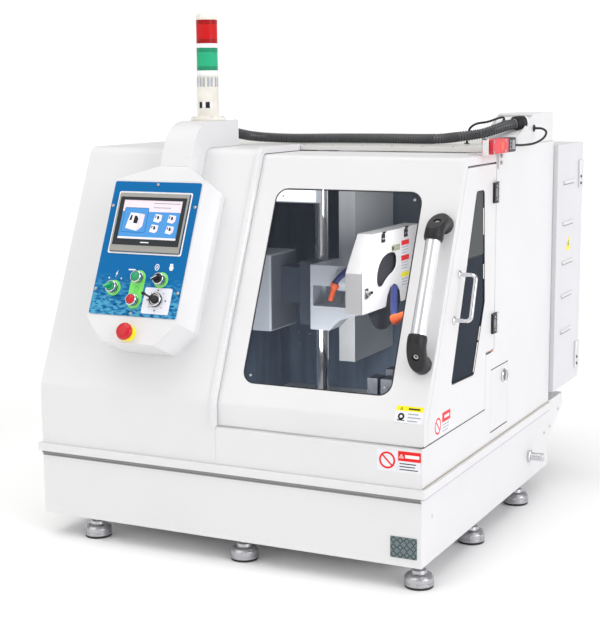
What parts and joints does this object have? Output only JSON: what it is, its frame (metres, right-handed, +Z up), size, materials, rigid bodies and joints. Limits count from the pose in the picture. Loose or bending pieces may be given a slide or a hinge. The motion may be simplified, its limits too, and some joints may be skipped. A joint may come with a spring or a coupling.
{
  "type": "abrasive cutting machine",
  "caption": "Enclosed automatic abrasive cut-off saw on levelling feet: sliding and hinged doors, leaning control box, signal tower and a powered wheel head over a sliding vise table.",
  "frame": {"origin": "floor level, at the centre of the machine's overall plan; z = 0 is the underside of the levelling feet", "axes": "+Z up; -Y is the operator's side with the sliding door and control box; +X is the operator's right, with the hinged side door"},
  "size_m": [1.1102, 1.3591, 1.3373],
  "materials": {
    "white_paint": "warm off-white powder coat, fine texture, low gloss",
    "plated_steel": "ground or zinc-plated steel",
    "dark_liner": "dark blue-grey paint, splashed by coolant",
    "blue_plate": "satin blue printed plate",
    "black_plastic": "moulded, fine grain",
    "red_plastic": "glossy moulded",
    "green_plastic": "glossy moulded",
    "yellow_plastic": "satin moulded",
    "grey_paint": "pale grey enamel",
    "glazing": "clear impact-proof sheet",
    "aluminium": "brushed, clear anodised",
    "chrome": "polished",
    "abrasive": "resin-bonded grit"
  },
  "bodies": {
    "enclosure": {"base_plinth": "white_paint", "foot_1": "plated_steel", "foot_2": "plated_steel", "foot_3": "plated_steel", "foot_4": "plated_steel", "foot_5": "plated_steel", "foot_6": "plated_steel", "foot_7": "plated_steel", "foot_8": "plated_steel", "left_shell": "white_paint", "roof_panel": "white_paint", "right_side_panel": "white_paint", "front_sill": "white_paint", "back_panel": "white_paint", "chamber_liner": "dark_liner", "splash_shield": "plated_steel", "cable_duct": "white_paint", "terminal_box": "white_paint", "conduit": "black_plastic", "sensor_cable": "black_plastic", "interlock_cable": "black_plastic", "interlock_switch": "red_plastic", "control_box": "white_paint", "control_plate": "blue_plate", "touch_panel": "black_plastic", "estop_collar": "yellow_plastic", "joystick_base": "black_plastic", "tower_body": "grey_paint", "tower_green_lens": "green_plastic", "tower_red_lens": "red_plastic", "cabinet_box": "white_paint", "guide_column": "chrome"},
    "front_door_body": {"front_door": "white_paint", "front_window": "glazing", "handle_tube": "aluminium", "handle_cap_top": "black_plastic", "handle_cap_bottom": "black_plastic", "interlock_key": "plated_steel"},
    "side_door_body": {"side_door": "white_paint", "side_window": "glazing", "side_handle": "chrome"},
    "access_flap_body": {"access_flap": "white_paint"},
    "flap_latch_body": {"flap_latch": "chrome"},
    "cabinet_door_body": {"cabinet_door": "white_paint"},
    "cabinet_latch_body": {"cabinet_latch": "black_plastic"},
    "start_button_body": {"start_button": "green_plastic"},
    "stop_button_body": {"stop_button": "red_plastic"},
    "power_selector_body": {"power_selector": "green_plastic"},
    "mode_selector_body": {"mode_selector": "black_plastic"},
    "estop_body": {"estop_button": "red_plastic"},
    "joystick_gimbal_body": {"joystick_gimbal": "plated_steel"},
    "joystick_lever_body": {"joystick_lever": "black_plastic"},
    "head_body": {"spindle_head": "grey_paint", "spindle_motor": "grey_paint", "wheel_guard": "white_paint"},
    "guard_cover_body": {"guard_cover": "white_paint"},
    "wheel_body": {"cutting_wheel": "abrasive"},
    "table_body": {"work_table": "plated_steel"},
    "vise_jaw_body": {"vise_jaw": "plated_steel"},
    "vise_lever_body": {"vise_lever": "black_plastic"}
  },
  "joints": [
    {"name": "front_door_slide", "type": "slide", "parent": "enclosure", "child": "front_door_body", "axis": [-1, 0, 0], "range_m": [0, 0.45]},
    {"name": "side_door_hinge", "type": "hinge", "parent": "enclosure", "child": "side_door_body", "pos_m": [0.51685, -0.1018, 0.65], "axis": [0, 0, 1], "range_deg": [0, 110]},
    {"name": "access_flap_hinge", "type": "hinge", "parent": "enclosure", "child": "access_flap_body", "pos_m": [0.50685, -0.0546, 0.2745], "axis": [0, 1, 0], "range_deg": [0, 85]},
    {"name": "flap_latch_turn", "type": "hinge", "parent": "access_flap_body", "child": "flap_latch_body", "pos_m": [0.50785, -0.0261, 0.405], "axis": [1, 0, 0], "range_deg": [-90, 0]},
    {"name": "cabinet_door_hinge", "type": "hinge", "parent": "enclosure", "child": "cabinet_door_body", "pos_m": [0.52485, 0.6392, 0.6285], "axis": [0, 0, -1], "range_deg": [0, 110]},
    {"name": "cabinet_latch_turn", "type": "hinge", "parent": "cabinet_door_body", "child": "cabinet_latch_body", "pos_m": [-0.51015, 0.6542, 0.6285], "axis": [0, 1, 0], "range_deg": [0, 90]},
    {"name": "start_button_push", "type": "slide", "parent": "enclosure", "child": "start_button_body", "axis": [0, 0.9149, -0.4037], "range_m": [0, 0.003], "stiffness_N_per_m": 400},
    {"name": "stop_button_push", "type": "slide", "parent": "enclosure", "child": "stop_button_body", "axis": [0, 0.9149, -0.4037], "range_m": [0, 0.003], "stiffness_N_per_m": 400},
    {"name": "power_selector_turn", "type": "hinge", "parent": "enclosure", "child": "power_selector_body", "pos_m": [-0.30515, -0.62142, 0.67218], "axis": [0, -0.9149, 0.4037], "range_deg": [-75, 15]},
    {"name": "mode_selector_turn", "type": "hinge", "parent": "enclosure", "child": "mode_selector_body", "pos_m": [-0.17415, -0.61072, 0.69642], "axis": [0, -0.9149, 0.4037], "range_deg": [-75, 15]},
    {"name": "estop_push", "type": "slide", "parent": "enclosure", "child": "estop_body", "axis": [0, 0.9149, -0.4037], "range_m": [0, 0.004]},
    {"name": "joystick_sideways", "type": "hinge", "parent": "enclosure", "child": "joystick_gimbal_body", "pos_m": [-0.17515, -0.62346, 0.64575], "axis": [0, 0.4037, 0.9149], "range_deg": [-15, 15], "stiffness_Nm_per_rad": 0.2},
    {"name": "joystick_up_down", "type": "hinge", "parent": "joystick_gimbal_body", "child": "joystick_lever_body", "pos_m": [-0.17515, -0.62346, 0.64575], "axis": [1, 0, 0], "range_deg": [-15, 15], "stiffness_Nm_per_rad": 0.2},
    {"name": "head_feed", "type": "slide", "parent": "enclosure", "child": "head_body", "axis": [0, 0, -1], "range_m": [0, 0.17]},
    {"name": "guard_cover_hinge", "type": "hinge", "parent": "head_body", "child": "guard_cover_body", "pos_m": [0.22785, -0.1026, 0.7815], "axis": [0, -1, 0], "range_deg": [0, 100]},
    {"name": "wheel_spin", "type": "hinge", "parent": "head_body", "child": "wheel_body", "pos_m": [0.20785, -0.1091, 0.643], "axis": [1, 0, 0], "continuous": true},
    {"name": "table_traverse", "type": "slide", "parent": "enclosure", "child": "table_body", "axis": [0, -1, 0], "range_m": [-0.06, 0.06]},
    {"name": "vise_lever_turn", "type": "hinge", "parent": "table_body", "child": "vise_lever_body", "pos_m": [0.24585, -0.1741, 0.345], "axis": [0, 0, -1], "range_deg": [0, 110]},
    {"name": "vise_jaw_slide", "type": "slide", "parent": "table_body", "child": "vise_jaw_body", "axis": [0, 1, 0], "range_m": [0, 0.031]}
  ],
  "couplings": [
    {"joint": "vise_jaw_slide", "follows": "vise_lever_turn", "m_per_rad": 0.016}
  ]
}
